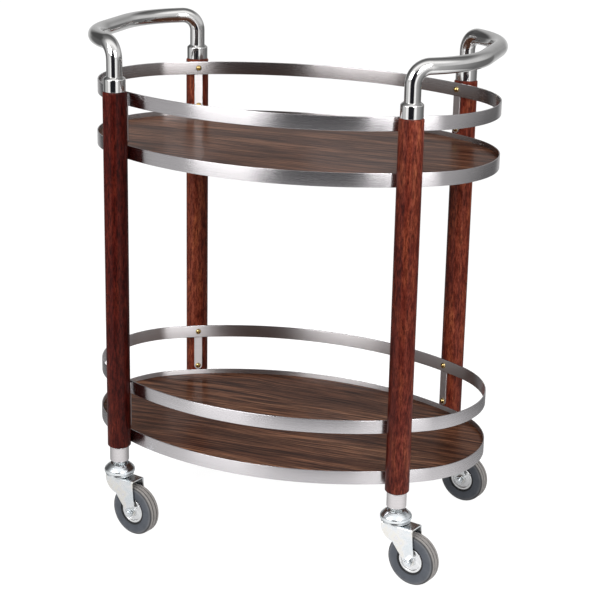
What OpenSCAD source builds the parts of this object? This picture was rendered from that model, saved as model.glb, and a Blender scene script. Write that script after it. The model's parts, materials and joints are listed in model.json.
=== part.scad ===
// Oval two-tier serving trolley: wooden posts, steel-banded trays, tubular handles and swivel casters.
// Frame: origin on the floor under the middle, +X along the trays, +Y across them, +Z up, millimetres.

/* [Trays] */
// Length of each oval tray over its edge band
tray_length = 664; // [560:1:840]
// Width of each oval tray over its edge band
tray_width = 412; // [360:1:500]
// Radius of the tighter arc at each end of the oval
tray_end_radius = 150; // [120:1:160]
// Rise from the lower tray's rim to the upper tray's rim
tier_spacing = 478; // [300:1:640]
// Wall of the steel band around a board
band_wall = 1.5; // [1:0.1:3]
// Height of the band's rim above the board
lip_height = 8; // [4:0.5:20]
// Thickness of a board
board_thickness = 12; // [10:0.5:20]
// Thickness of the tabs that a board rests on
tab_thickness = 2; // [1:0.1:4]
// Reach of a tab under its board
tab_length = 20; // [14:1:40]
// Width of a tab along the band
tab_width = 24; // [14:1:40]

/* [Rails] */
// Height of the guard rail strip
rail_height = 22; // [14:1:30]
// Thickness of the guard rail strip
rail_wall = 2; // [1:0.1:3]
// Rise from a tray's rim to the top of its guard rail
rail_rise = 84.5; // [60:0.5:120]
// Width of the strap between a guard rail and a post
strap_width = 14; // [10:0.5:18]
// Thickness of the strap
strap_thickness = 3; // [2.2:0.1:5]
// Depth of the flat that seats a strap in its post
strap_seat_depth = 1.4; // [1:0.1:2]

/* [Posts] */
// Diameter of the round wooden posts
post_diameter = 38; // [34:0.5:50]
// Direction of a post's contact with the oval, from the X axis
post_angle = 61.2; // [40:0.1:75]
// Chamfer on the ends of a post
post_chamfer = 2; // [0.5:0.1:4]
// How far a post reaches below the lower tray
post_foot_drop = 3; // [0:0.5:20]
// How far a post stands above the upper guard rail
post_head_rise = 2.5; // [0:0.5:20]

/* [Handles] */
// Outer diameter of the handle tube
tube_diameter = 25; // [20:0.5:30]
// Wall of the handle tube
tube_wall = 1.5; // [1:0.1:3]
// Length of handle leg inside its post
leg_grip = 45; // [25:1:60]
// Height of the ferrule on top of a post
ferrule_height = 23; // [12:0.5:40]
// Wall of the ferrule around the tube
ferrule_wall = 5; // [3:0.1:6]
// Straight leg between the ferrule and its bend
leg_rise = 25.5; // [4:0.5:60]
// Centre-line radius of the bend at the top of a leg
leg_bend_radius = 26; // [24:0.5:40]
// Straight length of an arm between its leg's bend and the bow
arm_length = 1; // [1:0.5:20]
// Radius of the bow as a share of a post's distance from the middle line
bow_share = 0.85; // [0.5:0.01:0.9]

/* [Casters] */
// Diameter of the wheel over its tyre
wheel_diameter = 83; // [70:0.5:110]
// Width of the tyre
wheel_width = 22; // [18:0.5:32]
// Diameter of the hub where the tyre sits
hub_diameter = 41; // [34:0.5:48]
// Distance from the swivel axis to the axle
caster_trail = 35; // [28:0.5:45]
// Resting direction of the trail, from the X axis
caster_angle = -16; // [-180:1:180]
// Space between the tyre and the fork's crown
crown_gap = 9.5; // [7:0.5:20]
// Thickness of the fork's steel
fork_steel = 2.5; // [2:0.1:4]
// Side gap between the wheel and a fork cheek
wheel_side_gap = 1.5; // [0.8:0.1:4]
// Outer diameter of the fork's ball race
race_diameter = 47; // [44:0.5:60]
// Height of the fork's ball race above the crown
race_height = 7; // [6:0.5:12]
// Height of the swivel cup over the balls
cup_height = 13.5; // [12:0.5:20]
// Diameter of a bearing ball
ball_diameter = 6; // [4:0.5:7]
// Diameter of the caster stem
stem_diameter = 12; // [10:0.5:14]
// Length of stem inside its socket
stem_grip = 45; // [25:1:60]
// Visible height of the socket below its post
socket_height = 27.5; // [16:0.5:50]
// Diameter of the socket below its post
socket_diameter = 32; // [26:0.5:33]
// Diameter of the axle bolt
axle_diameter = 8; // [6:0.5:10]

/* [Screws] */
// Diameter of the screw shanks
screw_diameter = 4; // [3:0.1:5]
// Diameter of the domed screw heads
screw_head_diameter = 10; // [8:0.5:12]
// Length of the screws that hold the guard rails
rail_screw_length = 16; // [13:0.5:20]
// Height of the domed heads that show on rails and straps
screw_head_height = 4; // [2:0.1:4.5]
// Diameter of the screw heads hidden inside the bands
tray_head_diameter = 8; // [6:0.5:9]
// Height of the screw heads hidden inside the bands
tray_head_height = 3; // [2:0.1:4]
// Diameter of the screw heads under the tabs
tab_head_diameter = 8; // [6:0.5:10]
// Height of the screw heads under the tabs
tab_head_height = 2.5; // [1.5:0.1:4]
// Depth of a tab's screw in its board
tab_screw_bite = 8; // [5:0.5:8.5]

/* [Clearances] */
// Radial gap of pins, stems and tubes in their bores
bore_gap = 0.05; // [0.02:0.01:0.1]
// Gap around a board inside its band
board_gap = 0.3; // [0.2:0.05:1]
// Gap between bearing balls and their grooves
ball_gap = 0.15; // [0.1:0.05:0.3]
// Gap between parts that turn past each other
running_gap = 0.5; // [0.3:0.1:1]
// Least gap under a screw head on a curved strip
head_gap = 0.05; // [0.03:0.01:0.2]
// Extra diameter of a hole that a screw passes freely
hole_clearance = 0.3; // [0.2:0.05:0.8]
// Gap around a strap in its seat
seat_gap = 0.15; // [0.1:0.05:0.4]
// Gap between a tray screw's tip and the caster stem
tip_gap = 0.5; // [0.3:0.1:3]

/* [Hidden] */
$fn = 96;
OVAL_FN = 360;
overcut = 1;
CORNERS = [["front_left", -1, -1], ["front_right", 1, -1], ["rear_left", -1, 1], ["rear_right", 1, 1]];
SIDES = [["left", -1], ["right", 1]];
TIERS = ["lower", "upper"];
TIER_PARTS = ["board", "band", "rail", "rail_straps", "rail_screws"];
CORNER_PARTS = ["post", "handle_ferrule", "caster_socket", "caster_stem", "swivel_cup", "fork",
                "swivel_balls", "axle_bolt", "axle_sleeve", "hub", "tyre"];

wood_red = "#5b2014";
wood_brown = "#5a4636";
steel = "#b9b6b2";
bright = "#d5d7da";
brass = "#b08a4a";
rubber = "#5b6169";

// Oval of four tangent arcs: two end arcs and two flatter side arcs
oval_a = tray_length / 2;
oval_b = tray_width / 2;
end_centre = oval_a - tray_end_radius;
side_radius = (end_centre * end_centre + oval_b * oval_b - tray_end_radius * tray_end_radius)
              / (2 * (oval_b - tray_end_radius));
side_centre = side_radius - oval_b;
join_angle = atan2(side_centre, end_centre);
// Overlap that makes the end arcs cross the side arcs instead of only touching them
join_swell = 0.03;

// Post axes, each a post radius outside the oval along its normal, set out to a hundredth
function hundredth(value) = round(value * 100) / 100;
post_radius = post_diameter / 2;
on_side_arc = post_angle >= join_angle;
post_arc_centre = on_side_arc ? [0, -side_centre] : [end_centre, 0];
post_arc_radius = (on_side_arc ? side_radius : tray_end_radius) + post_radius;
post_x = hundredth(post_arc_centre[0] + post_arc_radius * cos(post_angle));
post_y = hundredth(post_arc_centre[1] + post_arc_radius * sin(post_angle));
rail_inset = strap_thickness - strap_seat_depth;
strap_foot_gap = 1;
strap_head_gap = 2.5;

// Heights of the caster stack, from the floor up
axle_z = wheel_diameter / 2;
crown_bottom = wheel_diameter + crown_gap;
crown_top = crown_bottom + fork_steel;
race_top = crown_top + race_height;
race_gap = 1;
cup_bottom = race_top + race_gap;
cup_top = cup_bottom + cup_height;
hex_recess = 4;
hex_bottom = cup_top - hex_recess;
hex_rise = 2.5;
socket_bottom = cup_top + hex_rise;
post_bottom = socket_bottom + socket_height;

// Heights of the two tiers
band_height = lip_height + board_thickness + tab_thickness;
lower_rim = post_bottom + post_foot_drop + band_height;
upper_rim = lower_rim + tier_spacing;
post_top = upper_rim + rail_rise + post_head_rise;
tray_head_edge = 0.5;
notch_margin = 1.5;
notch_headroom = 0.7;
tray_screw_rise = tab_thickness + tray_head_diameter / 2 + tray_head_edge;

function rim(tier) = tier == "lower" ? lower_rim : upper_rim;

// Handle centre line
tube_radius = tube_diameter / 2;
bend_z = post_top + ferrule_height + leg_rise;
bow_z = bend_z + leg_bend_radius;
bow_radius = round(post_y * bow_share);
// An arm leaves its leg 4 parts outwards to 3 parts inwards
arm_out = 0.8;
arm_in = 0.6;
arm_turn = asin(arm_in);
bow_turn = 90 - arm_turn;
arm_end = leg_bend_radius + arm_length;
bar_x = post_x + arm_out * arm_end + bow_radius * (1 - arm_in);
bar_half = post_y - arm_in * arm_end - bow_radius * arm_out;
ferrule_lip = 1;

// Caster pieces
stem_radius = stem_diameter / 2;
race_radius = race_diameter / 2;
ball_radius = ball_diameter / 2;
ball_ring_inset = 6.5;
ball_ring_radius = race_radius - ball_ring_inset;
ball_z = race_top + race_gap / 2;
ball_count = 14;
cup_skirt = 1.5;
cup_skirt_drop = 3;
cup_rim_height = 4;
cup_neck_radius = 14;
cup_neck_wall = 1.5;
hex_flats = 19;
rivet_radius = 10;
rivet_height = 4;
spigot_diameter = 22;
spigot_length = 28;
fork_inner = wheel_width + 2 * wheel_side_gap;
fork_outer = fork_inner + 2 * fork_steel;
fork_front = 18;
fork_rear = 4;
fork_eye_radius = 8.5;
fork_belly_radius = 26;
fork_belly_turn = 80;
fork_belly_steps = 10;
axle_sleeve_wall = 2;
sleeve_radius = axle_diameter / 2 + axle_sleeve_wall;
nut_flats = 13;
nut_height = 6;
thread_show = 2;

// Solids that are shared by several pieces

module oval(inset) {
  join_x = end_centre + (tray_end_radius - inset) * cos(join_angle);
  intersection() {
    translate([0, -side_centre]) circle(r = side_radius - inset, $fn = OVAL_FN);
    translate([0, side_centre]) circle(r = side_radius - inset, $fn = OVAL_FN);
    square([2 * join_x, 2 * tray_width], center = true);
  }
  for (side = [-1, 1])
    translate([side * (end_centre - join_swell), 0])
      circle(r = tray_end_radius + join_swell - inset, $fn = OVAL_FN);
}

module oval_slab(inset, bottom, height) {
  translate([0, 0, bottom]) linear_extrude(height) oval(inset);
}

module oval_hoop(inset, wall, top, height) {
  difference() {
    oval_slab(inset, top - height, height);
    oval_slab(inset + wall, top - height - overcut, height + 2 * overcut);
  }
}

// Local frame of a post: origin on its axis, +X away from the trays along the oval's normal
module at_post(corner) {
  translate([corner[1] * post_x, corner[2] * post_y, 0])
    rotate(atan2(corner[2] * sin(post_angle), corner[1] * cos(post_angle)))
      children();
}

// Local frame of a caster: origin under the swivel axis, +X along the trail
module at_caster(corner) {
  translate([corner[1] * post_x, corner[2] * post_y, 0]) rotate(caster_angle) children();
}

// Local frame of a wheel: +Z along the axle, away from the nut
module at_wheel(corner) {
  at_caster(corner) translate([caster_trail, 0, axle_z]) rotate([-90, 0, 0]) children();
}

// Level hole along a post's local X axis
module post_hole(diameter, from_x, to_x, height) {
  translate([from_x, 0, height]) rotate([0, 90, 0]) cylinder(d = diameter, h = to_x - from_x);
}

// Screw along +Z with its domed head below the origin
module domed_screw(head_diameter, head_height, length) {
  head_radius = head_diameter / 2;
  dome_radius = (head_radius * head_radius + head_height * head_height) / (2 * head_height);
  tip = screw_diameter / 2;
  rotate_extrude()
    intersection() {
      translate([0, dome_radius - head_height]) circle(r = dome_radius);
      translate([0, -head_height]) square([head_radius, head_height]);
    }
  cylinder(d = screw_diameter, h = length - tip);
  translate([0, 0, length - tip]) cylinder(d1 = screw_diameter, d2 = screw_diameter / 4, h = tip);
}

module strap_outline(tier, grow) {
  foot = strap_screw_z(tier);
  head = rim(tier) + rail_rise - strap_head_gap;
  translate([0, foot]) circle(d = strap_width + 2 * grow);
  translate([-strap_width / 2 - grow, foot]) square([strap_width + 2 * grow, head - foot + grow]);
}

module strap_solid(tier, front_x, thickness, grow) {
  translate([front_x, 0, 0]) rotate([90, 0, 90]) linear_extrude(thickness) strap_outline(tier, grow);
}

function strap_screw_z(tier) = rim(tier) + strap_foot_gap + strap_width / 2;
function rail_screw_z(tier) = rim(tier) + rail_rise - rail_height / 2;
function tray_screw_z(tier) = rim(tier) - band_height + tray_screw_rise;

// Gap that keeps the rim of a flat screw head off the hollow side of a curved strip
function head_stand(head, strip_radius) = max(head_gap, head * head / (8 * strip_radius) + bore_gap / 5);

// Faces along a post's local X axis, and the screws that reach in from them
strap_front = -post_radius - rail_inset;
rail_inner = strap_front - rail_wall;
band_inner = -post_radius - band_wall;
contact_radius = post_arc_radius - post_radius;
rail_head_gap = head_stand(screw_head_diameter, contact_radius - rail_inset - rail_wall);
tray_head_gap = head_stand(tray_head_diameter, contact_radius - band_wall);
tray_screw_length = tray_head_gap - band_inner - stem_radius - tip_gap;
clear_hole = screw_diameter + hole_clearance;
pilot_hole = screw_diameter + 2 * bore_gap;

// Trays

module board(tier) {
  bottom = rim(tier) - band_height + tab_thickness;
  notch_width = tray_head_diameter + 2 * notch_margin;
  notch_top = tray_screw_z(tier) + tray_head_diameter / 2 + notch_headroom;
  notch_depth = tray_head_height + notch_margin;
  color(wood_brown)
    difference() {
      oval_slab(band_wall + board_gap, bottom, board_thickness);
      for (corner = CORNERS)
        at_post(corner)
          translate([band_inner - notch_depth, -notch_width / 2, bottom - overcut])
            cube([notch_depth + overcut, notch_width, notch_top - bottom + overcut]);
      tab_screw_places(bottom) cylinder(d = pilot_hole, h = tab_screw_bite + overcut);
    }
}

module band(tier) {
  color(steel)
    difference() {
      oval_hoop(0, band_wall, rim(tier), band_height);
      for (corner = CORNERS)
        at_post(corner)
          post_hole(clear_hole, band_inner - overcut, 0, tray_screw_z(tier));
    }
}

// Middle of each board tab, at a given height
module tab_screw_places(height) {
  reach = band_wall + tab_length / 2;
  for (side = [-1, 1]) {
    translate([side * (oval_a - reach), 0, height]) children();
    translate([0, side * (oval_b - reach), height]) children();
  }
}

module board_tabs() {
  color(steel)
    for (tier = TIERS)
      difference() {
        intersection() {
          oval_slab(band_wall + bore_gap, rim(tier) - band_height, tab_thickness);
          for (side = [-1, 1]) {
            translate([side * (oval_a - band_wall), 0, rim(tier) - band_height])
              cube([2 * tab_length, tab_width, 4 * tab_thickness], center = true);
            translate([0, side * (oval_b - band_wall), rim(tier) - band_height])
              cube([tab_width, 2 * tab_length, 4 * tab_thickness], center = true);
          }
        }
        tab_screw_places(rim(tier) - band_height - overcut)
          cylinder(d = clear_hole, h = tab_thickness + 2 * overcut);
      }
}

module tab_screws() {
  color(bright)
    for (tier = TIERS)
      tab_screw_places(rim(tier) - band_height)
        domed_screw(tab_head_diameter, tab_head_height, tab_thickness + tab_screw_bite);
}

module tray_screws() {
  color(bright)
    for (tier = TIERS, corner = CORNERS)
      at_post(corner)
        translate([band_inner - tray_head_gap, 0, tray_screw_z(tier)])
          rotate([0, 90, 0])
            domed_screw(tray_head_diameter, tray_head_height, tray_screw_length);
}

// Guard rails

module rail(tier) {
  color(steel)
    difference() {
      oval_hoop(rail_inset, rail_wall, rim(tier) + rail_rise, rail_height);
      for (corner = CORNERS)
        at_post(corner)
          post_hole(clear_hole, rail_inner - overcut, 0, rail_screw_z(tier));
    }
}

module rail_straps(tier) {
  color(steel)
    for (corner = CORNERS)
      at_post(corner)
        difference() {
          strap_solid(tier, strap_front, strap_thickness, 0);
          post_hole(clear_hole, strap_front - overcut, 0, rail_screw_z(tier));
          post_hole(clear_hole, strap_front - overcut, 0, strap_screw_z(tier));
        }
}

module rail_screws(tier) {
  color(brass)
    for (corner = CORNERS)
      at_post(corner) {
        translate([rail_inner - rail_head_gap, 0, rail_screw_z(tier)])
          rotate([0, 90, 0])
            domed_screw(screw_head_diameter, screw_head_height, rail_screw_length);
        translate([strap_front, 0, strap_screw_z(tier)])
          rotate([0, 90, 0])
            domed_screw(screw_head_diameter, screw_head_height, rail_screw_length);
      }
}

// Posts and handles

module post(corner) {
  rail_screw_tip = strap_front + rail_screw_length;
  color(wood_red)
    at_post(corner)
      difference() {
        rotate_extrude()
          polygon([
            [0, post_bottom],
            [post_radius - post_chamfer, post_bottom],
            [post_radius, post_bottom + post_chamfer],
            [post_radius, post_top - post_chamfer],
            [post_radius - post_chamfer, post_top],
            [0, post_top]
          ]);
        translate([0, 0, post_top - leg_grip - overcut])
          cylinder(r = tube_radius + bore_gap, h = leg_grip + 2 * overcut);
        translate([0, 0, post_bottom - overcut])
          cylinder(d = spigot_diameter + 2 * bore_gap, h = spigot_length + 2 * overcut);
        for (tier = TIERS) {
          strap_solid(tier, strap_front - overcut, strap_thickness + overcut, seat_gap);
          post_hole(pilot_hole, -post_radius - overcut, rail_screw_tip, rail_screw_z(tier));
          post_hole(pilot_hole, -post_radius - overcut, rail_screw_tip, strap_screw_z(tier));
          post_hole(pilot_hole, -post_radius - overcut, band_inner + tray_screw_length, tray_screw_z(tier));
        }
      }
}

module handle_ferrule(corner) {
  radius = tube_radius + ferrule_wall;
  edge_round = ferrule_wall - ferrule_lip;
  color(bright)
    at_post(corner)
      translate([0, 0, post_top])
        rotate_extrude()
          difference() {
            union() {
              square([radius, ferrule_height - edge_round]);
              square([radius - edge_round, ferrule_height]);
              translate([radius - edge_round, ferrule_height - edge_round]) circle(r = edge_round);
            }
            translate([0, -overcut]) square([tube_radius + bore_gap, ferrule_height + 2 * overcut]);
          }
}

module tube_section() {
  difference() {
    circle(r = tube_radius);
    circle(r = tube_radius - tube_wall);
  }
}

// Bend that starts on the X axis: a whole ring between the planes of its two ends
module tube_bend(bend_radius, angle) {
  reach = bend_radius + tube_diameter;
  intersection() {
    rotate_extrude() translate([bend_radius, 0]) tube_section();
    translate([0, 0, -reach]) cube([reach, reach, 2 * reach]);
    rotate(angle) translate([0, -reach, -reach]) cube([reach, reach, 2 * reach]);
  }
}

// Handle tube on the +X side: two legs with their bends and arms, the two halves of the bow and its middle
module handle_tube() {
  foot = post_top - leg_grip;
  for (side = [-1, 1])
    translate([post_x, side * post_y, 0])
      rotate(-side * arm_turn) {
        translate([0, 0, foot]) linear_extrude(bend_z - foot) tube_section();
        translate([leg_bend_radius, 0, bend_z]) rotate([90, 0, 180]) tube_bend(leg_bend_radius, 90);
        translate([leg_bend_radius, 0, bow_z]) rotate([0, 90, 0]) linear_extrude(arm_length) tube_section();
        translate([arm_end, -side * bow_radius, bow_z])
          rotate([side > 0 ? 180 : 0, 0, 0])
            rotate(-90)
              tube_bend(bow_radius, bow_turn);
      }
  translate([bar_x, bar_half, bow_z]) rotate([90, 0, 0]) linear_extrude(2 * bar_half) tube_section();
}

module handle(side) {
  color(bright)
    difference() {
      rotate(side[1] > 0 ? 0 : 180) handle_tube();
      for (corner = CORNERS)
        if (corner[1] == side[1])
          at_post(corner)
            post_hole(clear_hole, -tube_radius - overcut, 0, rail_screw_z("upper"));
    }
}

// Casters

module caster_socket(corner) {
  edge_round = 4;
  radius = socket_diameter / 2;
  color(bright)
    at_post(corner)
      difference() {
        translate([0, 0, socket_bottom])
          rotate_extrude()
            union() {
              translate([0, edge_round]) square([radius, socket_height - edge_round]);
              square([radius - edge_round, socket_height]);
              translate([radius - edge_round, edge_round]) circle(r = edge_round);
              square([spigot_diameter / 2, socket_height + spigot_length]);
            }
        translate([0, 0, socket_bottom - overcut])
          cylinder(r = stem_radius + bore_gap, h = stem_grip + 2 * overcut);
        post_hole(clear_hole, -socket_diameter, -stem_radius, tray_screw_z("lower"));
      }
}

module caster_stem(corner) {
  rivet_top = crown_bottom - running_gap;
  color(bright)
    at_caster(corner) {
      translate([0, 0, rivet_top]) cylinder(r = stem_radius, h = socket_bottom + stem_grip - rivet_top);
      translate([0, 0, rivet_top - rivet_height]) cylinder(r = rivet_radius, h = rivet_height);
      translate([0, 0, hex_bottom])
        cylinder(d = hex_flats / cos(30), h = socket_bottom - hex_bottom, $fn = 6);
    }
}

module swivel_cup(corner) {
  skirt_inner = race_radius + running_gap;
  skirt_outer = race_radius + cup_skirt;
  recess_radius = cup_neck_radius - cup_neck_wall;
  color(bright)
    at_caster(corner)
      rotate_extrude()
        difference() {
          polygon([
            [stem_radius + bore_gap, cup_bottom],
            [skirt_inner, cup_bottom],
            [skirt_inner, race_top - cup_skirt_drop],
            [skirt_outer, race_top - cup_skirt_drop],
            [skirt_outer, cup_bottom + cup_rim_height],
            [cup_neck_radius, cup_top],
            [recess_radius, cup_top],
            [recess_radius, hex_bottom],
            [stem_radius + bore_gap, hex_bottom]
          ]);
          translate([ball_ring_radius, ball_z]) circle(r = ball_radius + ball_gap);
        }
}

// Side of a fork cheek: a rounded belly under the crown's front, then straight to the eye
module cheek_outline() {
  belly_centre = [fork_belly_radius - fork_front, crown_bottom];
  belly = [for (turn = [0 : fork_belly_turn / fork_belly_steps : fork_belly_turn])
           belly_centre - fork_belly_radius * [cos(turn), sin(turn)]];
  rear = [caster_trail + fork_rear, crown_bottom];
  eye = [caster_trail, axle_z];
  front_line = belly[len(belly) - 1] - eye;
  rear_line = rear - eye;
  front_angle = atan2(front_line[1], front_line[0]) + acos(fork_eye_radius / norm(front_line));
  rear_angle = atan2(rear_line[1], rear_line[0]) - acos(fork_eye_radius / norm(rear_line));
  polygon(concat(
    [[-fork_front, crown_top]],
    belly,
    [
      eye + fork_eye_radius * [cos(front_angle), sin(front_angle)],
      eye + fork_eye_radius * [cos(rear_angle), sin(rear_angle)],
      rear,
      [rear[0], crown_top]
    ]
  ));
  translate(eye) circle(r = fork_eye_radius);
}

module fork(corner) {
  crown_length = fork_front + caster_trail + fork_rear;
  color(bright)
    at_caster(corner)
      difference() {
        union() {
          translate([-fork_front, -fork_outer / 2, crown_bottom])
            cube([crown_length, fork_outer, fork_steel]);
          translate([0, 0, crown_bottom]) cylinder(r = race_radius, h = race_top - crown_bottom);
          for (outer_y = [-fork_inner / 2, fork_outer / 2])
            translate([0, outer_y, 0]) rotate([90, 0, 0]) linear_extrude(fork_steel) cheek_outline();
        }
        translate([0, 0, crown_bottom - overcut])
          cylinder(r = stem_radius + bore_gap, h = race_top - crown_bottom + 2 * overcut);
        translate([0, 0, ball_z])
          rotate_extrude() translate([ball_ring_radius, 0]) circle(r = ball_radius + ball_gap);
        translate([caster_trail, 0, axle_z])
          rotate([90, 0, 0])
            cylinder(d = axle_diameter + 2 * bore_gap, h = 2 * fork_outer, center = true);
      }
}

module swivel_balls(corner) {
  color(steel)
    at_caster(corner)
      for (turn = [0 : 360 / ball_count : 359])
        rotate(turn) translate([ball_ring_radius, 0, ball_z]) sphere(r = ball_radius);
}

module axle_bolt(corner) {
  thread_end = fork_outer / 2 + nut_height + thread_show;
  color(bright)
    at_wheel(corner) {
      translate([0, 0, -thread_end]) cylinder(d = axle_diameter, h = thread_end + fork_outer / 2);
      translate([0, 0, fork_outer / 2]) cylinder(d = nut_flats / cos(30), h = nut_height, $fn = 6);
      difference() {
        translate([0, 0, -fork_outer / 2 - nut_height])
          cylinder(d = nut_flats / cos(30), h = nut_height, $fn = 6);
        translate([0, 0, -thread_end]) cylinder(r = axle_diameter / 2 + bore_gap, h = thread_end);
      }
    }
}

module axle_sleeve(corner) {
  color(steel)
    at_wheel(corner)
      difference() {
        cylinder(r = sleeve_radius, h = fork_inner, center = true);
        cylinder(r = axle_diameter / 2 + bore_gap, h = fork_inner + 2 * overcut, center = true);
      }
}

module hub(corner) {
  boss_wall = 3;
  rim_wall = 3;
  rim_inset = 1;
  web = wheel_width / 3;
  bore = sleeve_radius + bore_gap;
  color(bright)
    at_wheel(corner)
      rotate_extrude()
        union() {
          translate([bore, -fork_inner / 2 + running_gap])
            square([boss_wall, fork_inner - 2 * running_gap]);
          translate([bore, -web]) square([hub_diameter / 2 - bore, 2 * web]);
          translate([hub_diameter / 2 - rim_wall, rim_inset - wheel_width / 2])
            square([rim_wall, wheel_width - 2 * rim_inset]);
        }
}

module tyre(corner) {
  shoulder = 4;
  groove_width = 1.4;
  groove_depth = 1.5;
  seat_step = 2;
  seat_inset = 1;
  outer = wheel_diameter / 2;
  half = wheel_width / 2;
  color(rubber)
    at_wheel(corner)
      rotate_extrude()
        difference() {
          union() {
            translate([hub_diameter / 2, -half]) square([outer - shoulder - hub_diameter / 2, wheel_width]);
            translate([hub_diameter / 2, shoulder - half])
              square([outer - hub_diameter / 2, wheel_width - 2 * shoulder]);
            for (side = [-1, 1])
              translate([outer - shoulder, side * (half - shoulder)]) circle(r = shoulder);
          }
          for (side = [-1, 1]) {
            translate([outer - groove_depth, side * wheel_width / 6 - groove_width / 2])
              square([groove_depth + overcut, groove_width]);
            translate([hub_diameter / 2 - overcut, side * half - seat_inset])
              square([seat_step + overcut, 2 * seat_inset]);
          }
        }
}

for (tier = TIERS) {
  board(tier);
  band(tier);
  rail(tier);
  rail_straps(tier);
  rail_screws(tier);
}
board_tabs();
tab_screws();
tray_screws();
for (side = SIDES)
  handle(side);
for (corner = CORNERS) {
  post(corner);
  handle_ferrule(corner);
  caster_socket(corner);
  caster_stem(corner);
  swivel_cup(corner);
  fork(corner);
  swivel_balls(corner);
  axle_bolt(corner);
  axle_sleeve(corner);
  hub(corner);
  tyre(corner);
}
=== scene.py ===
import json
import math

import bmesh
import bpy
from mathutils import Matrix, Vector


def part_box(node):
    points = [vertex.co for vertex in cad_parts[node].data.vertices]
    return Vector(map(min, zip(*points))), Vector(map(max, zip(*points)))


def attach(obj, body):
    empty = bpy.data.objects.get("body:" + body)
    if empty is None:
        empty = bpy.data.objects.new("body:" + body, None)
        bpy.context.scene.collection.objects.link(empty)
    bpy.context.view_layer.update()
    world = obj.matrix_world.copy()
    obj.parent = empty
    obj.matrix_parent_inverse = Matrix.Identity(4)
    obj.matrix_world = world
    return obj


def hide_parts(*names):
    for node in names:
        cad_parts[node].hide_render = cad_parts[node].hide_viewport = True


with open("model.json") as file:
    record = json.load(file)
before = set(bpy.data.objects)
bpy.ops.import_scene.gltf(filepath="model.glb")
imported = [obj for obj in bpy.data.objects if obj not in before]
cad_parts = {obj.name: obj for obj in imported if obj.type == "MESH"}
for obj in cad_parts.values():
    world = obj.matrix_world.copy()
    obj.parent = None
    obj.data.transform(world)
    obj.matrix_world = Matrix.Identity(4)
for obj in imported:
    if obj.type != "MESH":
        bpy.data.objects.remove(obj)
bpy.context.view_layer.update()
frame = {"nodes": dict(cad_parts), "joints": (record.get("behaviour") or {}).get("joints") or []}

# Viewpoint: a camera a little above the upper tray, to the right of the long side and tipped down, as for a
# catalogue picture of a whole trolley. The lens is long, so the four posts stand almost parallel.
scene = bpy.context.scene
scene.view_settings.view_transform = "Standard"
PICTURE, SENSOR, FOCAL_PIXELS = 600, 36, 1630.1
PICTURE_CENTRE = (292.1, 255)
AIM_HEIGHT, CAMERA_DISTANCE = 0.4553, 2.6671
view_turn, view_tip, view_roll = math.radians(19.36), math.radians(16.75), math.radians(1.07)


def bearing_way(turn, tip):
    return Vector((math.sin(turn) * math.cos(tip), -math.cos(turn) * math.cos(tip), math.sin(tip)))


view_back = bearing_way(view_turn, view_tip)
level_right = Vector((0, 0, 1)).cross(view_back).normalized()
level_up = view_back.cross(level_right)
view_right = level_right * math.cos(view_roll) + level_up * math.sin(view_roll)
view_up = level_up * math.cos(view_roll) - level_right * math.sin(view_roll)
view_place = Vector((0, 0, AIM_HEIGHT)) + view_back * CAMERA_DISTANCE
lens = bpy.data.cameras.new("catalogue_camera")
lens.sensor_width = SENSOR
lens.lens = SENSOR * FOCAL_PIXELS / PICTURE
lens.shift_x = (PICTURE / 2 - PICTURE_CENTRE[0]) / PICTURE
lens.shift_y = (PICTURE_CENTRE[1] - PICTURE / 2) / PICTURE
camera = bpy.data.objects.new("catalogue_camera", lens)
scene.collection.objects.link(camera)
view_frame = Matrix((view_right, view_up, view_back)).transposed().to_4x4()
camera.matrix_world = Matrix.Translation(view_place) @ view_frame
scene.camera = camera


# Studio: a grey room with two upright light strips beside the camera and an unlit gap between them, which
# bright metal picks up as its dark stripe. The roof is lit in front and the wall behind is pale. Two soft
# panels hang beside the camera, and a weaker one behind.
def add_node(tree, kind, sockets=None, **settings):
    made = tree.nodes.new(kind)
    for name, value in settings.items():
        setattr(made, name, value)
    for key, value in (sockets or {}).items():
        if isinstance(value, bpy.types.NodeSocket):
            tree.links.new(value, made.inputs[key])
        else:
            made.inputs[key].default_value = value
    return made


def add_ramp(tree, factor, stops):
    made = add_node(tree, "ShaderNodeValToRGB", {"Fac": factor})
    ramp = made.color_ramp
    while len(ramp.elements) < len(stops):
        ramp.elements.new(0.5)
    for element, (place, tone) in zip(ramp.elements, stops):
        element.position = place
        element.color = (*tone, 1) if isinstance(tone, tuple) else (tone, tone, tone, 1)
    return made.outputs["Color"]


def mapped(tree, value, low, high):
    sockets = {"Value": value, "From Min": low, "From Max": high}
    return add_node(tree, "ShaderNodeMapRange", sockets).outputs[0]


def mixed_colour(tree, factor, first, second, blend="MIX"):
    sockets = {0: factor, 6: first, 7: second}
    return add_node(tree, "ShaderNodeMix", sockets, data_type="RGBA", blend_type=blend).outputs[2]


def turned_to_view(tree, place):
    sockets = {"Vector": place, "Angle": -view_turn}
    faced = add_node(tree, "ShaderNodeVectorRotate", sockets, rotation_type="Z_AXIS").outputs["Vector"]
    return add_node(tree, "ShaderNodeSeparateXYZ", {"Vector": faced}).outputs


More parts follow.
